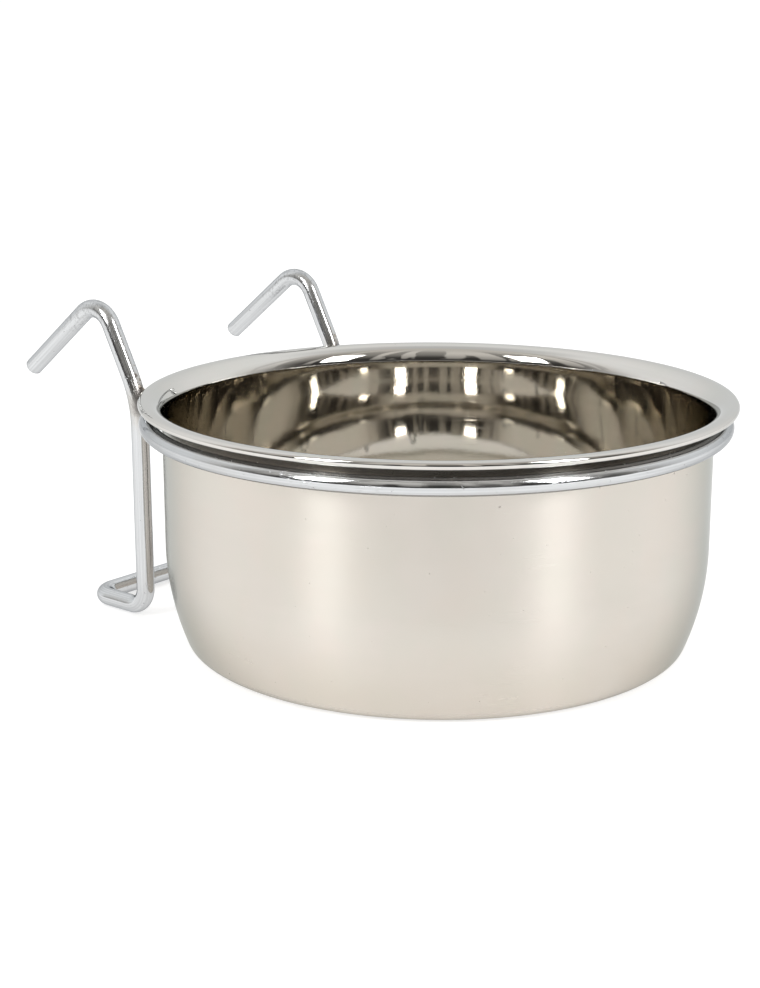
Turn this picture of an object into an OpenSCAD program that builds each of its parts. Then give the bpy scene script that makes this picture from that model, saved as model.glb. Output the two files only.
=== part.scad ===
// A hook-on steel feeding bowl: a deep-drawn bowl with a rolled rim rests in a wire ring,
// and a bent wire hanger welded to the ring hooks over the wires of a cage wall.
// Millimetres, +Z up. The origin is the centre of the bowl's underside, the front is -Y,
// and the cage wall with the hooks is towards +Y.

/* [Bowl] */
// Diameter over the rolled rim
rim_d = 140; // [120:1:150]
// Height from the underside to the top of the rim
bowl_h = 59; // [50:0.2:70]
// Thickness of the sheet steel
sheet = 0.7; // [0.5:0.05:0.8]
// Height of the rim's tightly rolled edge
rim_h = 1.7; // [1.6:0.1:2.6]
// Radius of the flare between the wall's inner face and the top of the rim
flare_r = 4.5; // [3.5:0.1:5]
// How far the rim stands out from the wall's outer face
rim_overhang = 5.5; // [5:0.1:6.5]
// Height above the underside at which the wall starts to curve in
curve_h = 24.5; // [18:0.5:34]
// Radius of that curve, seen in section
curve_r = 62; // [50:1:80]
// Radius between the wall and the flat base
base_corner_r = 3; // [2.5:0.5:8]

/* [Support ring] */
// Diameter of the ring's wire
ring_wire_d = 4; // [3:0.1:5]
// Radius of the ring, to the middle of its wire
ring_r = 67.5; // [67.2:0.1:68]
// How far the ring's centre lies behind the bowl's centre
ring_back = 0.6; // [0:0.1:0.7]
// Gap between the ring and the underside of the rim while the bowl and the hanger stand on a table
seat_gap = 1.9; // [0.3:0.1:2.5]

/* [Hanger wire] */
// Diameter of the hanger's wire
wire_d = 4.4; // [3.6:0.1:5]
// Distance between the two legs, between wire centres
leg_span = 73.2; // [60:0.2:84]
// Radius of the bends at the foot, to the middle of the wire
foot_bend_r = 5; // [4:0.5:7]
// Distance from the legs to the crossbar behind them, between wire centres
foot_length = 18; // [12:0.5:30]
// Length of each leg's straight upright part
leg_straight = 41; // [38:0.5:44]
// How far each leg turns backwards at the level of the rim, in degrees
lean_angle = 27.5; // [10:0.5:40]
// Radius of that gentle bend
lean_bend_r = 27.5; // [15:0.5:40]
// Length of the straight part between that bend and the top of the hook
lean_straight = 12.8; // [8:0.2:30]
// How far the wire turns over the top of the hook, in degrees
hook_angle = 101; // [90:1:120]
// Radius of the hook's top bend, to the middle of the wire
hook_bend_r = 6.4; // [5:0.2:10]
// Length of the hook's straight arm, down to its cut end
arm_straight = 25.6; // [15:0.2:40]

/* [Welds] */
// Radius of the weld between each leg and the ring
weld_r = 2.7; // [2.4:0.1:3]
// Gap between a leg and the ring, filled by the weld
weld_gap = 0.4; // [0.1:0.1:0.5]
// Length of the weld that closes the ring
seam_length = 1.6; // [1:0.2:3]
// How far that weld stands out from the ring's wire
seam_height = 0.2; // [0.1:0.05:0.4]

/* [Hidden] */
$fn = 200;

// bowl section
rim_r = rim_d / 2;
wall_r = rim_r - rim_overhang;
roll_r = rim_h / 2;
roll_z = bowl_h - roll_r;
flare_x = wall_r - sheet + flare_r;
flare_z = bowl_h - flare_r;
roll_x = rim_r - roll_r;
lip_end_x = roll_x - 1;
curve_x = wall_r - curve_r;
corner_x = curve_x + sqrt(pow(curve_r - base_corner_r, 2) - pow(curve_h - base_corner_r, 2));
corner_angle = atan2(curve_h - base_corner_r, corner_x - curve_x);
arc_step = 3;

// ring and hanger
ring_wire_r = ring_wire_d / 2;
wire_r = wire_d / 2;
bend_wire_r = wire_r + 0.02;
end_overlap = 0.1;
foot_z = bend_wire_r;
ring_z = bowl_h - rim_h - seat_gap - ring_wire_r;
leg_x = leg_span / 2;
leg_reach = ring_r + ring_wire_r + weld_gap + wire_r;
leg_y = ring_back + sqrt(leg_reach * leg_reach - leg_x * leg_x);
weld_reach = ring_r + ring_wire_r + weld_gap / 2;
crossbar_y = leg_y + foot_length;
seam_angle = seam_length / ring_r * 180 / PI;
steel = [0.78, 0.77, 0.74];
chrome = [0.86, 0.87, 0.88];
weld_grey = [0.45, 0.40, 0.34];

// Points along an arc, from one angle to the other.
function arc(centre, r, from, to) =
    let (steps = max(2, ceil(abs(to - from) / arc_step)))
    [for (i = [0:steps]) let (a = from + (to - from) * i / steps) centre + r * [cos(a), sin(a)]];

// The bowl's skin seen in section: base, corner, curved wall, flare, flat rim and its roll.
// The outer skin has depth 0, and the inner skin lies one sheet deeper.
function skin(depth) = concat(
    [[0, depth]],
    arc([corner_x, base_corner_r], base_corner_r - depth, -90, -corner_angle),
    arc([curve_x, curve_h], curve_r - depth, -corner_angle, 0)
);
function rim_outside() = concat(
    arc([flare_x, flare_z], flare_r, 180, 90),
    arc([roll_x, roll_z], roll_r, 90, -90),
    [[lip_end_x, roll_z - roll_r]]
);
function rim_inside() = concat(
    [[lip_end_x, roll_z - roll_r + sheet]],
    arc([roll_x, roll_z], roll_r - sheet, -90, 90),
    arc([flare_x, flare_z], flare_r - sheet, 90, 180)
);
function reversed(points) = [for (i = [len(points) - 1:-1:0]) points[i]];

// One drawn piece of sheet steel, from the base to the rolled rim.
module bowl() {
    color(steel)
    rotate_extrude()
    polygon(concat(skin(0), reversed(rim_inside()), reversed(rim_outside()), reversed(skin(sheet))));
}

// A wire bent in one plane. It starts at the origin along +Z, and each step is
// [length] for a straight part or [bend radius, angle] for a bend towards +X.
// Each straight part runs a little way into the bends at its ends.
module bent_wire(steps, i = 0) {
    if (i < len(steps)) {
        s = steps[i];
        if (len(s) == 1) {
            translate([0, 0, -end_overlap]) cylinder(h = s[0] + 2 * end_overlap, r = wire_r);
            translate([0, 0, s[0]]) bent_wire(steps, i + 1);
        } else {
            translate([s[0], 0, 0]) rotate([90, 0, 0])
                rotate_extrude(angle = s[1], start = 180 - s[1]) translate([s[0], 0]) circle(r = bend_wire_r);
            translate([s[0] * (1 - cos(s[1])), 0, s[0] * sin(s[1])])
                rotate([0, s[1], 0]) bent_wire(steps, i + 1);
        }
    }
}

// The round wire ring that the bowl's rim rests on. Its ends meet at the seam weld.
module support_ring() {
    color(chrome)
    translate([0, ring_back, ring_z])
    rotate_extrude(angle = 360 - seam_angle, start = 90 + seam_angle / 2)
    translate([ring_r, 0])
    circle(r = ring_wire_r);
}

// One side of the hanger: corner of the foot, foot, leg, lean, hook and cut end.
module hanger_side() {
    translate([leg_x - foot_bend_r, crossbar_y - foot_bend_r, foot_z])
        rotate_extrude(angle = 90) translate([foot_bend_r, 0]) circle(r = bend_wire_r);
    translate([leg_x, crossbar_y - foot_bend_r, foot_z]) rotate([90, 0, 0]) rotate([0, 0, 90])
    bent_wire([
        [foot_length - 2 * foot_bend_r],
        [foot_bend_r, 90],
        [leg_straight],
        [lean_bend_r, lean_angle],
        [lean_straight],
        [hook_bend_r, hook_angle],
        [arm_straight]
    ]);
}

// One continuous wire: hook, leg, foot, crossbar, foot, leg, hook.
module hanger_wire() {
    color(chrome) {
        translate([0, crossbar_y, foot_z]) rotate([0, 90, 0])
            cylinder(h = leg_span - 2 * foot_bend_r + 2 * end_overlap, r = wire_r, center = true);
        hanger_side();
        mirror([1, 0, 0]) hanger_side();
    }
}

// The weld in the crevice where the ring passes a leg, on the side given by +1 or -1.
module leg_weld(side) {
    leg_angle = atan2(leg_y - ring_back, side * leg_x);
    color(weld_grey)
    translate([0, ring_back, ring_z]) rotate([0, 0, leg_angle])
    difference() {
        translate([weld_reach, 0, 0]) rotate([0, 90, 0]) sphere(r = weld_r);
        rotate_extrude(angle = 12, start = -6) translate([ring_r, 0]) circle(r = ring_wire_r);
        translate([leg_reach, 0, 0]) cylinder(h = 4 * weld_r, r = wire_r, center = true);
    }
}
module weld_left() {
    leg_weld(-1);
}
module weld_right() {
    leg_weld(1);
}

// The weld that joins the two ends of the ring's wire, behind the bowl.
module ring_seam_weld() {
    color(weld_grey)
    translate([0, ring_back, ring_z])
    rotate_extrude(angle = seam_angle, start = 90 - seam_angle / 2)
    translate([ring_r, 0])
    circle(r = ring_wire_r + seam_height);
}

bowl();
support_ring();
hanger_wire();
weld_left();
weld_right();
ring_seam_weld();
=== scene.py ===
import math

import bmesh
import bpy
import numpy as np
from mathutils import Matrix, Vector, noise


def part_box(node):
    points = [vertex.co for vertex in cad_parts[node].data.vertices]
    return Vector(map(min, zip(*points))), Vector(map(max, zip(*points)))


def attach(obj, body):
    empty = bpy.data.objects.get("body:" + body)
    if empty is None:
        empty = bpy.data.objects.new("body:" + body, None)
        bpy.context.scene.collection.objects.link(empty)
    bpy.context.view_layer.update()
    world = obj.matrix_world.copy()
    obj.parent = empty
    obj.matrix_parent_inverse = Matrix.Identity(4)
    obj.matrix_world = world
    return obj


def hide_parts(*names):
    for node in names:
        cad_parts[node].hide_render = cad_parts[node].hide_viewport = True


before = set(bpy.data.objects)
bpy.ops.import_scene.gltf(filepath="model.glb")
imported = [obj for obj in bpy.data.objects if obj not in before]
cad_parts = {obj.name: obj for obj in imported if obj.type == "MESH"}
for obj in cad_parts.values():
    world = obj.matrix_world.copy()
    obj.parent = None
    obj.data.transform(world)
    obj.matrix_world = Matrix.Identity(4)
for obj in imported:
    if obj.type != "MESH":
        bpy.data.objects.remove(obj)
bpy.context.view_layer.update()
MM = 0.001


# ---------------------------------------------------------------- sizes from the CAD frame
bowl_lo, bowl_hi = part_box("bowl")
ring_lo, ring_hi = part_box("support_ring")
hang_lo, hang_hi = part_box("hanger_wire")

RIM_R = bowl_hi.x
BOWL_H = bowl_hi.z
SHEET = 0.7 * MM
ROLL_R = 0.85 * MM                  # the rim's tightly rolled edge, to its outer face
FLARE_R = 4.5 * MM
LIP = 1.0 * MM                      # how far the sheet runs back in under the roll
RIM_OVERHANG = 5.5 * MM
WALL_R = RIM_R - RIM_OVERHANG
CURVE_H = 24.5 * MM
CURVE_R = 62.0 * MM
CORNER_R = 3.0 * MM

RING_WIRE_R = (ring_hi.z - ring_lo.z) / 2
RING_Z = (ring_hi.z + ring_lo.z) / 2
RING_BACK = 0.6 * MM                # the ring's centre lies this far behind the bowl's
RING_Y = (bowl_hi.y + bowl_lo.y) / 2 + RING_BACK
RING_R = ring_hi.x - RING_WIRE_R

WIRE_R = 2.2 * MM
FOOT_Z = 2.22 * MM                  # height of the foot's centreline
LEG_X = hang_hi.x - FOOT_Z
LEG_Y = hang_lo.y + FOOT_Z
FOOT_BEND_R = 5.0 * MM
FOOT_LENGTH = 18.0 * MM
CROSSBAR_Y = LEG_Y + FOOT_LENGTH
LEG_STRAIGHT = 41.0 * MM
LEAN_ANGLE = 27.5
LEAN_BEND_R = 27.5 * MM
LEAN_STRAIGHT = 12.8 * MM
HOOK_ANGLE = 101.0
HOOK_BEND_R = 6.4 * MM
ARM_STRAIGHT = 25.6 * MM
CHAMFER = 0.35 * MM                 # at the hooks' cut ends

WELD_SIZE = (1.9 * MM, 2.9 * MM, 3.2 * MM)
WELD_GAP = 0.4 * MM
SEAM_SIZE = (0.95 * MM, 2.2 * MM, 2.2 * MM)
AROUND = 40                         # points round a wire


# ---------------------------------------------------------------- mesh helpers
def add_object(name, mesh, smooth=True):
    mesh.polygons.foreach_set("use_smooth", [smooth] * len(mesh.polygons))
    obj = bpy.data.objects.new(name, mesh)
    bpy.context.scene.collection.objects.link(obj)
    return obj


def new_mesh(name, verts, faces, smooth=True):
    mesh = bpy.data.meshes.new(name)
    mesh.from_pydata([tuple(v) for v in verts], [], faces)
    mesh.validate()
    mesh.update()
    return add_object(name, mesh, smooth)


def arc(cx, cz, r, a0, a1, n):
    """Points (r, z) on an arc, angles in degrees."""
    return [(cx + r * math.cos(math.radians(a0 + (a1 - a0) * i / n)),
             cz + r * math.sin(math.radians(a0 + (a1 - a0) * i / n))) for i in range(n + 1)]


def line(p, q, n):
    """Points from p to q, without q."""
    return [(p[0] + (q[0] - p[0]) * i / n, p[1] + (q[1] - p[1]) * i / n) for i in range(n)]


# ---------------------------------------------------------------- bowl
def bowl_skin(depth):
    """Section from the centre of the base up to the flare, at a depth into the sheet."""
    curve_x = WALL_R - CURVE_R
    corner_x = curve_x + math.sqrt((CURVE_R - CORNER_R) ** 2 - (CURVE_H - CORNER_R) ** 2)
    corner_angle = math.degrees(math.atan2(CURVE_H - CORNER_R, corner_x - curve_x))
    pts = line((0.0, depth), (corner_x, depth), 8)
    pts += arc(corner_x, CORNER_R, CORNER_R - depth, -90, -corner_angle, 10)
    pts += arc(curve_x, CURVE_H, CURVE_R - depth, -corner_angle, 0, 28)[1:]
    pts += line((WALL_R - depth, CURVE_H), (WALL_R - depth, BOWL_H - FLARE_R), 16)[1:]
    return pts


def bowl_section():
    """Closed section of the sheet in three parts: the outside, the rim and the inside."""
    roll_z = BOWL_H - ROLL_R
    flare_x = WALL_R - SHEET + FLARE_R
    flare_z = BOWL_H - FLARE_R
    roll_x = RIM_R - ROLL_R
    lip_x = roll_x - LIP
    edge_x = lip_x + 0.05 * MM
    under = arc(flare_x, flare_z, FLARE_R - SHEET, 180, 90, 12)
    under += line((flare_x, BOWL_H - SHEET), (roll_x, BOWL_H - SHEET), 2)[1:]
    under += arc(roll_x, roll_z, ROLL_R - SHEET, 90, -90, 8)
    under += line((roll_x, roll_z - ROLL_R + SHEET), (lip_x, roll_z - ROLL_R + SHEET), 2)[1:]
    under += [(edge_x, roll_z - ROLL_R + SHEET)]
    lip = arc(edge_x, roll_z - ROLL_R + SHEET / 2, SHEET / 2, 90, 270, 6)[1:]
    over = line((edge_x, roll_z - ROLL_R), (roll_x, roll_z - ROLL_R), 2)[1:]
    over += arc(roll_x, roll_z, ROLL_R, -90, 90, 20)
    over += line((roll_x, BOWL_H), (flare_x, BOWL_H), 2)[1:]
    over += arc(flare_x, flare_z, FLARE_R, 90, 180, 26)
    outside = bowl_skin(0.0) + under
    rim = lip + over
    return outside, rim, bowl_skin(SHEET)[::-1]


def ripple(theta, z):
    """How far the drawn sheet stands off its true round, in metres: long waves and shorter ones."""
    c, s = math.cos(theta), math.sin(theta)
    p = Vector((c * 1.7, s * 1.7, z * 22))
    q = Vector((c * 5.0 + 7, s * 5.0 + 3, z * 60))
    return (0.060 * noise.noise(p) + 0.016 * noise.noise(q)) * MM


def make_bowl(segments=480):
    """The section turned about Z. Material slots: 0 the outside, 1 the inside, 2 the rim."""
    outside, rim, inside = bowl_section()
    section = outside + rim + inside[:-1]
    n = len(section)
    verts = [(0.0, 0.0, section[0][1])]
    faces, mats = [], []
    for j in range(segments):
        t = 2 * math.pi * j / segments
        c, s = math.cos(t), math.sin(t)
        for i in range(1, n):
            r, z = section[i]
            # the base stays flat, and the ripples fade out where the wall turns into the rim
            grow = ripple(t, z) * min(1.0, r / (0.9 * WALL_R)) if z > 1.5 * MM else 0.0
            fade = max(0.0, 1.0 - max(0.0, (r - WALL_R + 0.2 * MM) / (1.2 * MM)))
            r += grow * fade
            verts.append((r * c, r * s, z))
    top = len(verts)
    verts.append((0.0, 0.0, inside[-1][1]))
    m = n - 1
    for j in range(segments):
        a, b = 1 + j * m, 1 + ((j + 1) % segments) * m
        faces.append((0, b, a))
        mats.append(0)
        for i in range(m - 1):
            faces.append((a + i, b + i, b + i + 1, a + i + 1))
            if i + 2 < len(outside):
                mats.append(0)
            elif i + 2 < len(outside) + len(rim):
                mats.append(2)
            else:
                mats.append(1)
        faces.append((a + m - 1, b + m - 1, top))
        mats.append(1)
    obj = new_mesh("steel_bowl", verts, faces)
    obj.data.polygons.foreach_set("material_index", mats)
    return obj


# ---------------------------------------------------------------- tubes
def add_lay(obj, values):
    """Keeps where each point lies on its wire: cosine and sine of the way round, and metres along."""
    lay = obj.data.attributes.new("lay", "FLOAT_VECTOR", "POINT")
    lay.data.foreach_set("vector", values)


def wire_ring(centre, u, v, r):
    """Points round a wire at one place, with their cosine and sine."""
    turns = [2 * math.pi * k / AROUND for k in range(AROUND)]
    ways = [(math.cos(a), math.sin(a)) for a in turns]
    return [(centre + u * (r * c) + v * (r * s), c, s) for c, s in ways]


def swept(name, points, radius):
    """A round wire along a list of points, with chamfered cut ends in material slot 1."""
    pts = [Vector(p) for p in points]
    n = len(pts)
    tangents = [(pts[min(n - 1, i + 1)] - pts[max(0, i - 1)]).normalized() for i in range(n)]
    normal = Vector((1, 0, 0)) if abs(tangents[0].x) < 0.9 else Vector((0, 1, 0))
    frames = []
    for p, t in zip(pts, tangents):
        normal = (normal - t * normal.dot(t)).normalized()
        frames.append((p, t, normal.copy(), t.cross(normal)))
    # each chamfer: how far in from the end, as a share of CHAMFER, and how much is off the radius
    chamfer = ((0.0, 2.0), (0.0, 1.0), (0.35, 0.35), (1.0, 0.0))
    rings = []
    p, t, u, v = frames[0]
    rings += [(p + t * CHAMFER * deep, u, v, radius - CHAMFER * off) for deep, off in chamfer]
    rings += [(p, u, v, radius) for p, t, u, v in frames[1:-1]]
    p, t, u, v = frames[-1]
    rings += [(p - t * CHAMFER * deep, u, v, radius - CHAMFER * off) for deep, off in chamfer[::-1]]
    verts, faces, lay, run = [], [], [], 0.0
    for i, ring in enumerate(rings):
        run += (ring[0] - rings[i - 1][0]).length if i else 0.0
        for place, c, s in wire_ring(*ring):
            verts.append(place)
            lay += [c, s, run]
    for i in range(len(rings) - 1):
        for k in range(AROUND):
            a, b = i * AROUND + k, i * AROUND + (k + 1) % AROUND
            faces.append((a, b, b + AROUND, a + AROUND))
    last = (len(rings) - 1) * AROUND
    faces.append(tuple(range(AROUND))[::-1])
    faces.append(tuple(last + k for k in range(AROUND)))
    obj = new_mesh(name, verts, faces)
    add_lay(obj, lay)
    cut = set(range(AROUND * 3)) | set(range(len(verts) - 3 * AROUND, len(verts)))
    obj.data.polygons.foreach_set("material_index", [int(all(v in cut for v in f)) for f in faces])
    return obj


def path_side():
    """Centreline of the hanger's half at +X, from the crossbar's middle to the cut end of the arm."""
    def straight(p, q):
        k = max(2, int(round((Vector(q) - Vector(p)).length / (2.0 * MM))))
        return [tuple(Vector(p).lerp(Vector(q), i / k)) for i in range(k)]

    f = FOOT_BEND_R
    pts = straight((0, CROSSBAR_Y, FOOT_Z), (LEG_X - f, CROSSBAR_Y, FOOT_Z))
    for i in range(20):
        a = math.radians(90 - 90 * i / 20)
        pts.append((LEG_X - f + f * math.cos(a), CROSSBAR_Y - f + f * math.sin(a), FOOT_Z))
    pts += straight((LEG_X, CROSSBAR_Y - f, FOOT_Z), (LEG_X, LEG_Y + f, FOOT_Z))
    for i in range(20):
        a = math.radians(90 * i / 20)
        pts.append((LEG_X, LEG_Y + f - f * math.sin(a), FOOT_Z + f - f * math.cos(a)))
    # from here the wire lies in the plane X = LEG_X; heading is measured from +Z towards +Y
    y, z, heading = LEG_Y, FOOT_Z + f, 0.0
    # a straight part is (length,) and a bend is (radius, degrees)
    for step in ((LEG_STRAIGHT,), (LEAN_BEND_R, LEAN_ANGLE), (LEAN_STRAIGHT,),
                 (HOOK_BEND_R, HOOK_ANGLE), (ARM_STRAIGHT,)):
        if len(step) == 1:
            ny, nz = y + step[0] * math.sin(heading), z + step[0] * math.cos(heading)
            pts += straight((LEG_X, y, z), (LEG_X, ny, nz))
            y, z = ny, nz
        else:
            r, turn = step[0], math.radians(step[1])
            cy, cz = y + r * math.cos(heading), z - r * math.sin(heading)
            k = max(10, int(step[1] / 4))
            for i in range(k):
                h = heading + turn * i / k
                pts.append((LEG_X, cy - r * math.cos(h), cz + r * math.sin(h)))
            heading += turn
            y, z = cy - r * math.cos(heading), cz + r * math.sin(heading)
    pts.append((LEG_X, y, z))
    return pts


def make_hanger():
    side = path_side()
    left = [(-x, y, z) for x, y, z in side[::-1]]
    return swept("hanger_wire_bent", left[:-1] + side, WIRE_R)


def make_ring(segments=720):
    verts, faces, lay = [], [], []
    for i in range(segments):
        t = 2 * math.pi * i / segments
        for k in range(AROUND):
            a = 2 * math.pi * k / AROUND
            r = RING_R + RING_WIRE_R * math.cos(a)
            verts.append((r * math.cos(t), RING_Y + r * math.sin(t), RING_Z + RING_WIRE_R * math.sin(a)))
            lay += [math.cos(a), math.sin(a), RING_R * abs(math.pi - t)]
    for i in range(segments):
        j = (i + 1) % segments
        for k in range(AROUND):
            m = (k + 1) % AROUND
            faces.append((i * AROUND + k, j * AROUND + k, j * AROUND + m, i * AROUND + m))
    obj = new_mesh("support_ring_wire", verts, faces)
    add_lay(obj, lay)
    return obj


# ---------------------------------------------------------------- welds
# they sit where the ring passes the two legs
leg_angle = math.atan2(LEG_Y - RING_Y, LEG_X)
weld_reach = RING_R + RING_WIRE_R + WELD_GAP / 2
weld_spots = [(side * weld_reach * math.cos(leg_angle), RING_Y + weld_reach * math.sin(leg_angle), RING_Z)
              for side in (-1, 1)]


def add_lump(bm, centre, size, seed, rough, turn, detail):
    """Adds one closed uneven form of half-axes size, turned about Z by turn."""
    c, s = math.cos(turn), math.sin(turn)
    for v in bmesh.ops.create_icosphere(bm, subdivisions=detail, radius=1.0)["verts"]:
        p = v.co.normalized()
        k = 1.0 + rough * (noise.noise(p * 1.9 + Vector((seed, 0, 0)))
                           + 0.45 * noise.noise(p * 5.2 + Vector((0, seed, 0)))
                           + 0.2 * noise.noise(p * 13 + Vector((0, 0, seed))))
        q = Vector((p.x * size[0], p.y * size[1], p.z * size[2])) * k
        v.co = Vector((c * q.x - s * q.y, s * q.x + c * q.y, q.z)) + Vector(centre)


def lump(name, centre, size, seed, rough=0.12, turn=0.0, drops=()):
    """A weld bead with the small drops of spatter round it, given as (centre, radius)."""
    bm = bmesh.new()
    add_lump(bm, centre, size, seed, rough, turn, 5)
    for i, (place, r) in enumerate(drops):
        add_lump(bm, place, (r, r, 1.25 * r), seed + 2.3 * i, 0.25, turn, 3)
    mesh = bpy.data.meshes.new(name)
    bm.to_mesh(mesh)
    bm.free()
    return add_object(name, mesh)


# drops of spatter: mm over the ring, degrees round the leg from the ring's side, radius in mm
SPATTER = ((2.6, 22, 0.62), (3.9, 4, 0.40), (4.7, 30, 0.50), (6.3, 14, 0.34),
           (7.4, 34, 0.42), (9.6, 20, 0.30), (-2.9, 24, 0.50), (-4.2, 2, 0.32))


def spatter(side):
    """Places the drops on the leg at the side given by +1 or -1."""
    leg = [p for p in path_side() if p[2] > FOOT_Z + FOOT_BEND_R and p[1] < LEG_Y + 8 * MM]
    drops = []
    for up, turn, r in SPATTER:
        z = RING_Z + up * MM
        y = float(np.interp(z, [p[2] for p in leg], [p[1] for p in leg]))
        a = leg_angle + math.pi + math.radians(turn)
        drops.append(((side * (LEG_X + WIRE_R * math.cos(a)), y + WIRE_R * math.sin(a), z), r * MM))
    return drops


# ---------------------------------------------------------------- materials
def shade(color, *by):
    """A colour times one factor, or times one factor for each channel, up to 1."""
    by = by * 3 if len(by) == 1 else by
    return [min(1.0, c * k) for c, k in zip(color, by)]


class Graph:
    """Short names for the nodes used in the materials."""

    def __init__(self, nt):
        self.nt = nt

    def put(self, socket, value):
        if isinstance(value, bpy.types.NodeSocket):
            self.nt.links.new(value, socket)
        else:
            socket.default_value = value

    def math(self, op, a, b=0.0, c=0.0, clamp=False):
        n = self.nt.nodes.new("ShaderNodeMath")
        n.operation = op
        n.use_clamp = clamp
        for i, v in enumerate((a, b, c)):
            self.put(n.inputs[i], v)
        return n.outputs[0]

    def dot(self, a, v):
        n = self.nt.nodes.new("ShaderNodeVectorMath")
        n.operation = "DOT_PRODUCT"
        self.put(n.inputs[0], a)
        n.inputs[1].default_value = v
        return n.outputs["Value"]

    def ramp(self, x, x0, x1, y0, y1):
        n = self.nt.nodes.new("ShaderNodeMapRange")
        n.interpolation_type = "SMOOTHSTEP"
        for i, v in enumerate((x, x0, x1, y0, y1)):
            self.put(n.inputs[i], v)
        return n.outputs[0]

    def split(self, v):
        n = self.nt.nodes.new("ShaderNodeSeparateXYZ")
        self.put(n.inputs[0], v)
        return n.outputs[0], n.outputs[1], n.outputs[2]

    def join(self, x, y, z):
        n = self.nt.nodes.new("ShaderNodeCombineXYZ")
        for i, v in enumerate((x, y, z)):
            self.put(n.inputs[i], v)
        return n.outputs[0]

    def scaled(self, v, x, y, z):
        n = self.nt.nodes.new("ShaderNodeVectorMath")
        n.operation = "MULTIPLY"
        self.put(n.inputs[0], v)
        n.inputs[1].default_value = (x, y, z)
        return n.outputs[0]

    def noise(self, v, scale, detail, rough=0.55):
        n = self.nt.nodes.new("ShaderNodeTexNoise")
        self.put(n.inputs["Vector"], v)
        n.inputs["Scale"].default_value = scale
        n.inputs["Detail"].default_value = detail
        n.inputs["Roughness"].default_value = rough
        return n.outputs[0]

    def hairlines(self, v, scale, width):
        """Thin lines where a noise passes its middle value: 1 on a line, 0 elsewhere."""
        off = self.math("ABSOLUTE", self.math("SUBTRACT", self.noise(v, scale, 1.0), 0.5))
        return self.ramp(off, 0.0, width, 1.0, 0.0)

    def mix(self, fac, a, b):
        n = self.nt.nodes.new("ShaderNodeMix")
        n.data_type = "RGBA"
        self.put(n.inputs["Factor"], fac)
        for name, v in (("A", a), ("B", b)):
            sock = [i for i in n.inputs if i.name == name and i.type == "RGBA"][0]
            self.put(sock, v if isinstance(v, bpy.types.NodeSocket) else (*v, 1))
        return [o for o in n.outputs if o.type == "RGBA"][0]

    def bump(self, height, distance, normal=None):
        n = self.nt.nodes.new("ShaderNodeBump")
        n.inputs["Strength"].default_value = 1.0
        n.inputs["Distance"].default_value = distance
        self.put(n.inputs["Height"], height)
        if normal is not None:
            self.put(n.inputs["Normal"], normal)
        return n.outputs[0]

    def position(self):
        return self.nt.nodes.new("ShaderNodeTexCoord").outputs["Object"]


QUARTER_TURN = 0.25                 # lays the stretched highlight across the polishing lines
EDGE_OF_PLATING = (0.55, 0.56, 0.57, 1)
# heights between which the bent hooks' plating turns grainy
WORKED_FROM, WORKED_TO = 66.5 * MM, 73.5 * MM
# the heat of a weld spreads from a point this far over it, and further along the leg than round it
HEAT_UP, HEAT_SQUASH = 1.5 * MM, 0.55


def material(name, metallic=1.0):
    mat = bpy.data.materials.new(name)
    mat.use_nodes = True
    nt = mat.node_tree
    nt.nodes.clear()
    out = nt.nodes.new("ShaderNodeOutputMaterial")
    bsdf = nt.nodes.new("ShaderNodeBsdfPrincipled")
    bsdf.inputs["Metallic"].default_value = metallic
    nt.links.new(bsdf.outputs[0], out.inputs[0])
    return mat, Graph(nt), bsdf


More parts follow.
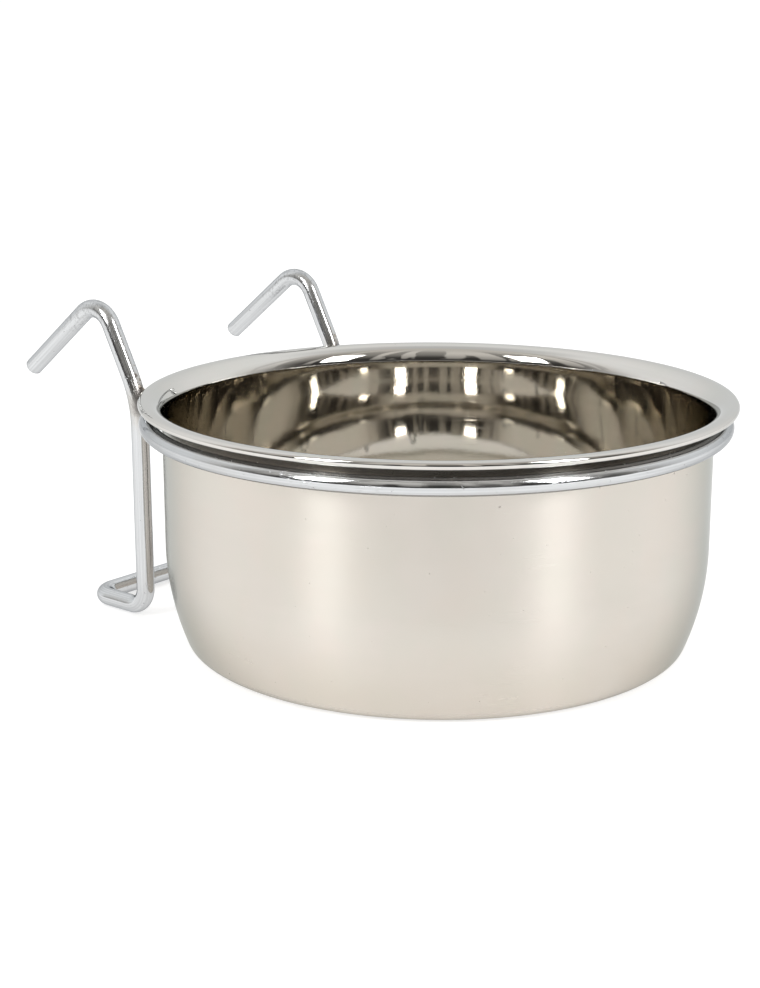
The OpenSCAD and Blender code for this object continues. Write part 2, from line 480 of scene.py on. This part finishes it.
def spun_steel(name, base, edge, rough, aniso, lines, seed, stain, peel=1.0, base_dull=0.10, rim_gap_shade=0.0):
    """Sheet steel polished on a turning spindle: its fine lines run round the bowl.

    edge tints what it mirrors at a low angle, lines and peel are the depths of the polishing lines and
    of the fine grain, stain browns its foot, base_dull roughens the flat base in rings, and the last
    argument sets painted shade: it darkens the strip below the rim, over the ring, where shade falls.
    """
    mat, g, bsdf = material(name)
    pos = g.position()
    x, y, z = g.split(pos)
    r = g.math("SQRT", g.math("ADD", g.math("MULTIPLY", x, x), g.math("MULTIPLY", y, y)))
    safe = g.math("MAXIMUM", r, 0.5 * MM)
    cx, cy = g.math("DIVIDE", x, safe), g.math("DIVIDE", y, safe)
    along = g.math("ADD", g.math("ADD", r, z), seed)
    turned = g.join(cx, cy, along)

    coarse = g.noise(g.scaled(turned, 1.6, 1.6, 420.0), 1.0, 2.0)
    medium = g.noise(g.scaled(turned, 3.5, 3.5, 1700.0), 1.0, 3.0)
    fine = g.noise(g.scaled(turned, 9.0, 9.0, 5200.0), 1.0, 2.0)
    grain = g.math("ADD", g.math("MULTIPLY", coarse, 0.35),
                   g.math("ADD", g.math("MULTIPLY", medium, 0.4), g.math("MULTIPLY", fine, 0.25)))
    scratch = g.math("MULTIPLY", g.hairlines(g.scaled(turned, 0.45, 0.45, 420.0), 1.0, 0.006),
                     g.ramp(g.noise(pos, 60.0, 2.0), 0.54, 0.66, 0.0, 1.0))
    smear = g.ramp(g.noise(g.scaled(turned, 1.3, 1.3, 26.0), 1.0, 4.0, 0.6), 0.42, 0.74, 0.0, 1.0)
    cloud = g.noise(pos, 34.0, 4.0, 0.6)
    speck = g.ramp(g.noise(pos, 980.0, 1.0), 0.785, 0.81, 0.0, 1.0)

    tone = g.mix(g.ramp(grain, 0.36, 0.66, 0.0, 1.0), shade(base, 0.985), shade(base, 1.015))
    warm = g.ramp(g.noise(pos, 52.0, 3.0), 0.42, 0.60, 0.0, 0.35)
    tone = g.mix(warm, tone, shade(base, 1.02, 0.985, 0.965))
    green = g.ramp(g.noise(pos, 75.0, 3.0), 0.46, 0.62, 0.0, 0.35)
    tone = g.mix(green, tone, shade(base, 0.96, 0.99, 0.97))
    tone = g.mix(g.math("MULTIPLY", smear, 0.12), tone, shade(base, 0.93, 0.91, 0.87))
    foot = g.ramp(z, 2.0 * MM, 22.0 * MM, 1.0, 0.0)
    stained = g.math("MULTIPLY", g.math("MULTIPLY", foot, cloud), stain)
    tone = g.mix(stained, tone, shade(base, 0.80, 0.74, 0.64))
    # painted shade: the strip below the rim, in the gap over the ring, is darkened where shade falls
    if rim_gap_shade:
        painted_gap_shade = g.ramp(z, BOWL_H - FLARE_R, BOWL_H - FLARE_R + 1.5 * MM, 0.0, rim_gap_shade)
        tone = g.mix(painted_gap_shade, tone, shade(base, 0.30))
    flat_base = g.ramp(g.math("ABSOLUTE", z), 1.2 * MM, CORNER_R, 1.0, 0.0)
    ringed = g.math("MULTIPLY", flat_base, g.ramp(medium, 0.42, 0.62, 0.0, 0.5))
    tone = g.mix(ringed, tone, shade(base, 0.90))
    tone = g.mix(g.math("MULTIPLY", speck, 0.45), tone, shade(base, 0.5))
    tone = g.mix(g.math("MULTIPLY", scratch, 0.08), tone, shade(base, 1.22))
    g.put(bsdf.inputs["Base Color"], tone)

    dull = g.math("MULTIPLY_ADD", smear, 0.10 * rough, rough)
    dull = g.math("MULTIPLY_ADD", g.math("SUBTRACT", cloud, 0.5), 0.25 * rough, dull)
    dull = g.math("MULTIPLY_ADD", g.math("SUBTRACT", grain, 0.5), lines * 0.05, dull)
    dull = g.math("MULTIPLY_ADD", ringed, base_dull, dull)
    dull = g.math("MULTIPLY_ADD", speck, 0.15, dull)
    dull = g.math("MULTIPLY_ADD", scratch, 0.03, dull)
    g.put(bsdf.inputs["Roughness"], g.math("MAXIMUM", dull, 0.02))
    bsdf.inputs["Anisotropic"].default_value = aniso
    bsdf.inputs["Anisotropic Rotation"].default_value = QUARTER_TURN
    bsdf.inputs["Specular Tint"].default_value = (*edge, 1)
    tangent = g.nt.nodes.new("ShaderNodeTangent")
    tangent.direction_type = "RADIAL"
    tangent.axis = "Z"
    g.put(bsdf.inputs["Tangent"], tangent.outputs[0])

    wave = g.bump(g.noise(g.scaled(turned, 2.6, 2.6, 90.0), 1.0, 2.0), 0.000035 * lines)
    polish = g.bump(grain, 0.0000012 * lines, wave)
    polish = g.bump(g.noise(g.scaled(pos, 1.0, 1.0, 0.5), 1700.0, 2.0), 0.0000016 * peel, polish)
    marks = g.bump(g.math("SUBTRACT", g.math("MULTIPLY", speck, 0.4), scratch), 0.0000015, polish)
    g.put(bsdf.inputs["Normal"], marks)
    return mat


def plated(name, base, rough, hot):
    """Plated wire: drawing lines along it, rubbed places, and heat colours near the points in hot."""
    mat, g, bsdf = material(name)
    bsdf.inputs["Specular Tint"].default_value = EDGE_OF_PLATING
    pos = g.position()
    lay = g.nt.nodes.new("ShaderNodeAttribute")
    lay.attribute_name = "lay"
    wire = lay.outputs["Vector"]
    drawn = g.noise(g.scaled(wire, 5.0, 5.0, 26.0), 1.0, 3.0)
    fine = g.noise(g.scaled(wire, 16.0, 16.0, 60.0), 1.0, 2.0)
    cloud = g.noise(pos, 160.0, 4.0, 0.6)
    rub = g.ramp(g.noise(pos, 55.0, 3.0), 0.53, 0.68, 0.0, 1.0)
    speck = g.ramp(g.noise(pos, 900.0, 1.0), 0.72, 0.77, 0.0, 1.0)
    nick = g.math("MULTIPLY", g.hairlines(g.scaled(wire, 2.2, 2.2, 210.0), 1.0, 0.010),
                  g.ramp(g.noise(pos, 120.0, 2.0), 0.55, 0.66, 0.0, 1.0))

    tone = g.mix(g.ramp(drawn, 0.35, 0.68, 0.0, 1.0), shade(base, 0.90), shade(base, 1.06))
    tone = g.mix(g.math("MULTIPLY", rub, 0.35), tone, shade(base, 0.88, 0.86, 0.83))
    tone = g.mix(g.math("MULTIPLY", speck, 0.5), tone, shade(base, 0.40))
    # the plating is stretched and grainy where the hooks were bent
    worked = g.ramp(g.split(pos)[2], WORKED_FROM, WORKED_TO, 0.0, 1.0)
    peel = g.noise(g.scaled(pos, 1.0, 1.0, 0.6), 1300.0, 3.0, 0.65)
    cracked = g.math("MULTIPLY", worked, g.ramp(peel, 0.50, 0.64, 0.0, 0.65))
    tone = g.mix(cracked, tone, shade(base, 0.62))
    dull = g.math("MULTIPLY_ADD", rub, 0.08, rough)
    dull = g.math("MULTIPLY_ADD", worked, 0.07, dull)
    dull = g.math("MULTIPLY_ADD", g.math("SUBTRACT", cloud, 0.5), 0.10, dull)
    dull = g.math("MULTIPLY_ADD", speck, 0.3, dull)
    dull = g.math("MULTIPLY_ADD", nick, 0.15, dull)
    for spot in hot:
        away = g.nt.nodes.new("ShaderNodeVectorMath")
        away.operation = "DISTANCE"
        g.put(away.inputs[0], g.scaled(pos, 1.0, 1.0, HEAT_SQUASH))
        away.inputs[1].default_value = (spot[0], spot[1], (spot[2] + HEAT_UP) * HEAT_SQUASH)
        ragged = g.math("MULTIPLY_ADD", g.math("SUBTRACT", cloud, 0.5), 5.0 * MM, away.outputs["Value"])
        tint = g.ramp(ragged, 3.0 * MM, 6.2 * MM, 1.0, 0.0)
        burnt = g.ramp(ragged, 2.5 * MM, 4.3 * MM, 1.0, 0.0)
        tone = g.mix(g.math("MULTIPLY", tint, 0.45), tone, shade(base, 0.80, 0.70, 0.56))
        tone = g.mix(g.math("MULTIPLY", burnt, 0.85), tone, shade(base, 0.36, 0.33, 0.32))
        dull = g.math("MULTIPLY_ADD", tint, 0.10, dull)
        dull = g.math("MULTIPLY_ADD", burnt, 0.18, dull)
    g.put(bsdf.inputs["Base Color"], tone)
    g.put(bsdf.inputs["Roughness"], g.math("MAXIMUM", dull, 0.02))
    body = g.bump(g.math("ADD", cloud, g.math("MULTIPLY", g.math("MULTIPLY", worked, peel), 0.8)), 0.00004)
    lines = g.bump(g.math("ADD", drawn, g.math("MULTIPLY", fine, 0.5)), 0.000012, body)
    g.put(bsdf.inputs["Normal"], g.bump(g.math("SUBTRACT", 0.0, nick), 0.000012, lines))
    return mat


def weld_metal(name):
    """Rough, heat-stained weld with small bright drops and soot in its hollows."""
    mat, g, bsdf = material(name, 0.9)
    pos = g.position()
    big = g.noise(pos, 420.0, 4.0, 0.6)
    small = g.noise(pos, 1500.0, 3.0, 0.6)
    pit = g.ramp(g.noise(pos, 900.0, 1.0), 0.60, 0.72, 0.0, 1.0)
    tone = g.mix(g.ramp(big, 0.36, 0.62, 0.0, 1.0), (0.16, 0.135, 0.11), (0.46, 0.42, 0.37))
    tone = g.mix(g.ramp(small, 0.56, 0.70, 0.0, 0.6), tone, (0.50, 0.37, 0.22))
    blue = g.ramp(g.noise(pos, 260.0, 2.0), 0.58, 0.72, 0.0, 0.5)
    tone = g.mix(blue, tone, (0.24, 0.26, 0.34))
    tone = g.mix(g.math("MULTIPLY", pit, 0.8), tone, (0.07, 0.06, 0.055))
    g.put(bsdf.inputs["Base Color"], tone)
    g.put(bsdf.inputs["Roughness"], g.math("MULTIPLY_ADD", big, 0.35, g.math("MULTIPLY_ADD", pit, 0.2, 0.20)))
    grain = g.bump(g.math("ADD", big, g.math("MULTIPLY", small, 0.4)), 0.00028)
    g.put(bsdf.inputs["Normal"], g.bump(pit, -0.00012, grain))
    return mat


def cut_metal(name):
    """The sheared end of a wire: dull, with the shear's marks across it."""
    mat, g, bsdf = material(name)
    pos = g.position()
    marks = g.noise(g.scaled(pos, 240.0, 2600.0, 1100.0), 1.0, 3.0)
    cloud = g.noise(pos, 700.0, 3.0)
    tone = g.mix(g.ramp(marks, 0.36, 0.64, 0.0, 1.0), (0.30, 0.285, 0.265), (0.55, 0.535, 0.51))
    tone = g.mix(g.ramp(cloud, 0.56, 0.70, 0.0, 0.6), tone, (0.20, 0.16, 0.12))
    g.put(bsdf.inputs["Base Color"], tone)
    g.put(bsdf.inputs["Roughness"], g.math("MULTIPLY_ADD", marks, 0.30, 0.22))
    g.put(bsdf.inputs["Normal"], g.bump(marks, 0.00009))
    return mat


steel_out = spun_steel("steel_outside", base=(0.632, 0.591, 0.542), edge=(0.56, 0.59, 0.59), rough=0.24,
                       aniso=0.9, lines=1.0, seed=0.0, stain=0.45, rim_gap_shade=0.7)
steel_in = spun_steel("steel_inside", base=(0.72, 0.695, 0.65), edge=(0.97, 0.97, 0.96), rough=0.035,
                      aniso=0.75, lines=0.5, seed=3.0, stain=0.25, peel=1.6, base_dull=0.0)
steel_rim = spun_steel("steel_rim", base=(0.64, 0.625, 0.60), edge=(0.70, 0.71, 0.71), rough=0.045,
                       aniso=0.6, lines=0.5, seed=5.0, stain=0.0)
wire_mat = plated("plated_wire", base=(0.595, 0.605, 0.615), rough=0.10, hot=weld_spots)
weld_mat = weld_metal("weld_metal")
cut_mat = cut_metal("cut_wire_end")


# ---------------------------------------------------------------- the pieces
bowl = make_bowl()
bowl.data.materials.append(steel_out)
bowl.data.materials.append(steel_in)
bowl.data.materials.append(steel_rim)
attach(bowl, "cup")
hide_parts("bowl")

ring = make_ring()
ring.data.materials.append(wire_mat)
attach(ring, "holder")
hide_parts("support_ring")

hanger = make_hanger()
hanger.data.materials.append(wire_mat)
hanger.data.materials.append(cut_mat)
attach(hanger, "holder")
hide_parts("hanger_wire")

for spot, node in zip(weld_spots, ("weld_left", "weld_right")):
    turn = math.atan2(spot[1] - RING_Y, spot[0])
    w = lump("leg_" + node, spot, WELD_SIZE, 3.1 + 40 * spot[0], turn=turn,
             drops=spatter(math.copysign(1, spot[0])))
    w.data.materials.append(weld_mat)
    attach(w, "holder")
    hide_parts(node)

seam = lump("ring_seam_bead", (0, RING_Y + RING_R, RING_Z), SEAM_SIZE, 7.7, rough=0.05)
seam.data.materials.append(weld_mat)
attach(seam, "holder")
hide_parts("ring_seam_weld")


# ---------------------------------------------------------------- floor, light and camera
FLOOR_HALF = 6.0
FLOOR_Z = -0.2 * MM
FLOOR_GREY = (0.5, 0.5, 0.5, 1)
FLOOR_GLOW = 0.62                   # what makes the floor as white as the photo's

CAM_PLACE = (-0.3298, -0.25305, BOWL_H + 0.08421)
CAM_TILT = 75.324                   # degrees up from straight down
CAM_HEADING = -50.645
CAM_LENS = 65.59
CAM_SIDE = -129.36                  # degrees from +Y, clockwise seen from above, to the camera's side

WHITE, WARM, COOL = (1.0, 1.0, 1.0, 1), (1.0, 0.965, 0.90), (0.99, 1.0, 1.0)
ROOM_DARK, ROOM_HIGH = 0.05, 0.38   # brightness of the camera's side of the room, low and high up
PANEL_LIGHT = 0.42                  # what the panels there add
PALE_SIDE = 1.05                    # the side behind the bowl
CEILING = 0.7
BACKDROP = 1.06                     # what the camera itself sees behind the object


def make_floor():
    verts = [(x * FLOOR_HALF, y * FLOOR_HALF, FLOOR_Z) for x, y in ((-1, -1), (1, -1), (1, 1), (-1, 1))]
    obj = new_mesh("floor", verts, [(0, 1, 2, 3)], smooth=False)
    mat, _, bsdf = material("floor", 0.0)
    bsdf.inputs["Base Color"].default_value = FLOOR_GREY
    bsdf.inputs["Roughness"].default_value = 0.6
    bsdf.inputs["Emission Color"].default_value = WHITE
    bsdf.inputs["Emission Strength"].default_value = FLOOR_GLOW
    obj.data.materials.append(mat)


def towards(rel, el):
    """Unit vector from the bowl: rel degrees from the camera's side, clockwise from above, and el up."""
    a, e = math.radians(CAM_SIDE) + math.radians(rel), math.radians(el)
    return Vector((math.sin(a) * math.cos(e), math.cos(a) * math.cos(e), math.sin(e)))


def make_studio():
    """The room round the object: dark with pale panels on the camera's side, pale behind the bowl."""
    world = bpy.data.worlds.new("studio")
    bpy.context.scene.world = world
    world.use_nodes = True
    nodes = world.node_tree.nodes
    g = Graph(world.node_tree)
    coord = nodes.new("ShaderNodeTexCoord").outputs["Generated"]
    ahead = g.dot(coord, tuple(towards(0, 0)))
    east, north, height = g.split(coord)
    flat = g.math("SQRT", g.math("SUBTRACT", 1.0, g.math("MULTIPLY", height, height), clamp=True))
    flat = g.math("MAXIMUM", flat, 0.001)
    facing = g.math("DIVIDE", ahead, flat)            # +1 towards the camera's side, -1 behind the bowl
    upright = g.join(g.math("DIVIDE", east, flat), g.math("DIVIDE", north, flat),
                     g.math("MULTIPLY", height, 0.12))
    panel = g.ramp(g.noise(g.scaled(upright, 4.6, 4.6, 4.6), 1.0, 2.0), 0.50, 0.545, 0.0, 1.0)
    panel = g.math("MULTIPLY", panel, g.ramp(height, 0.10, 0.40, 0.0, PANEL_LIGHT))
    room = g.math("ADD", g.ramp(height, 0.30, 0.85, ROOM_DARK, ROOM_HIGH), panel)
    behind = g.ramp(facing, -0.35, 0.55, 1.0, 0.0)
    low = g.math("ADD", g.math("MULTIPLY", behind, g.math("SUBTRACT", PALE_SIDE, room)), room)
    top = g.ramp(height, 0.80, 1.0, 0.0, 1.0)
    level = g.math("ADD", g.math("MULTIPLY", low, g.math("SUBTRACT", 1.0, top)),
                   g.math("MULTIPLY", top, CEILING))
    # what lies behind the object is plain and pale from every side
    seen = nodes.new("ShaderNodeLightPath").outputs["Is Camera Ray"]
    hidden = g.math("SUBTRACT", 1.0, seen)
    level = g.math("ADD", g.math("MULTIPLY", level, hidden), g.math("MULTIPLY", seen, BACKDROP))
    background = nodes["Background"]
    g.put(background.inputs["Strength"], level)
    g.put(background.inputs["Color"], g.mix(g.math("MAXIMUM", behind, seen), WARM, COOL))


def softbox(name, rel, el=33, distance=1.5, wide=0.34, tall=0.80, power=11.0):
    """A standing area light, aimed at the bowl."""
    data = bpy.data.lights.new(name, "AREA")
    data.shape = "RECTANGLE"
    data.size, data.size_y = wide, tall
    data.energy = power
    obj = bpy.data.objects.new(name, data)
    bpy.context.scene.collection.objects.link(obj)
    d = towards(rel, el)
    obj.location = Vector((0, 0, 0.05)) + d * distance
    obj.rotation_euler = d.to_track_quat("Z", "Y").to_euler()


def make_camera():
    data = bpy.data.cameras.new("camera")
    data.lens = CAM_LENS
    data.sensor_width = 36.0
    data.sensor_fit = "AUTO"
    data.clip_start = 0.01
    data.clip_end = 50.0
    cam = bpy.data.objects.new("camera", data)
    cam.location = CAM_PLACE
    cam.rotation_euler = (math.radians(CAM_TILT), 0.0, math.radians(CAM_HEADING))
    bpy.context.scene.collection.objects.link(cam)
    bpy.context.scene.camera = cam


make_floor()
make_studio()
softbox("softbox_left", 48)
softbox("softbox_right", -48)
make_camera()

bpy.context.scene.view_settings.view_transform = "Standard"
bpy.context.scene.cycles.max_bounces = 24
bpy.context.scene.cycles.glossy_bounces = 22
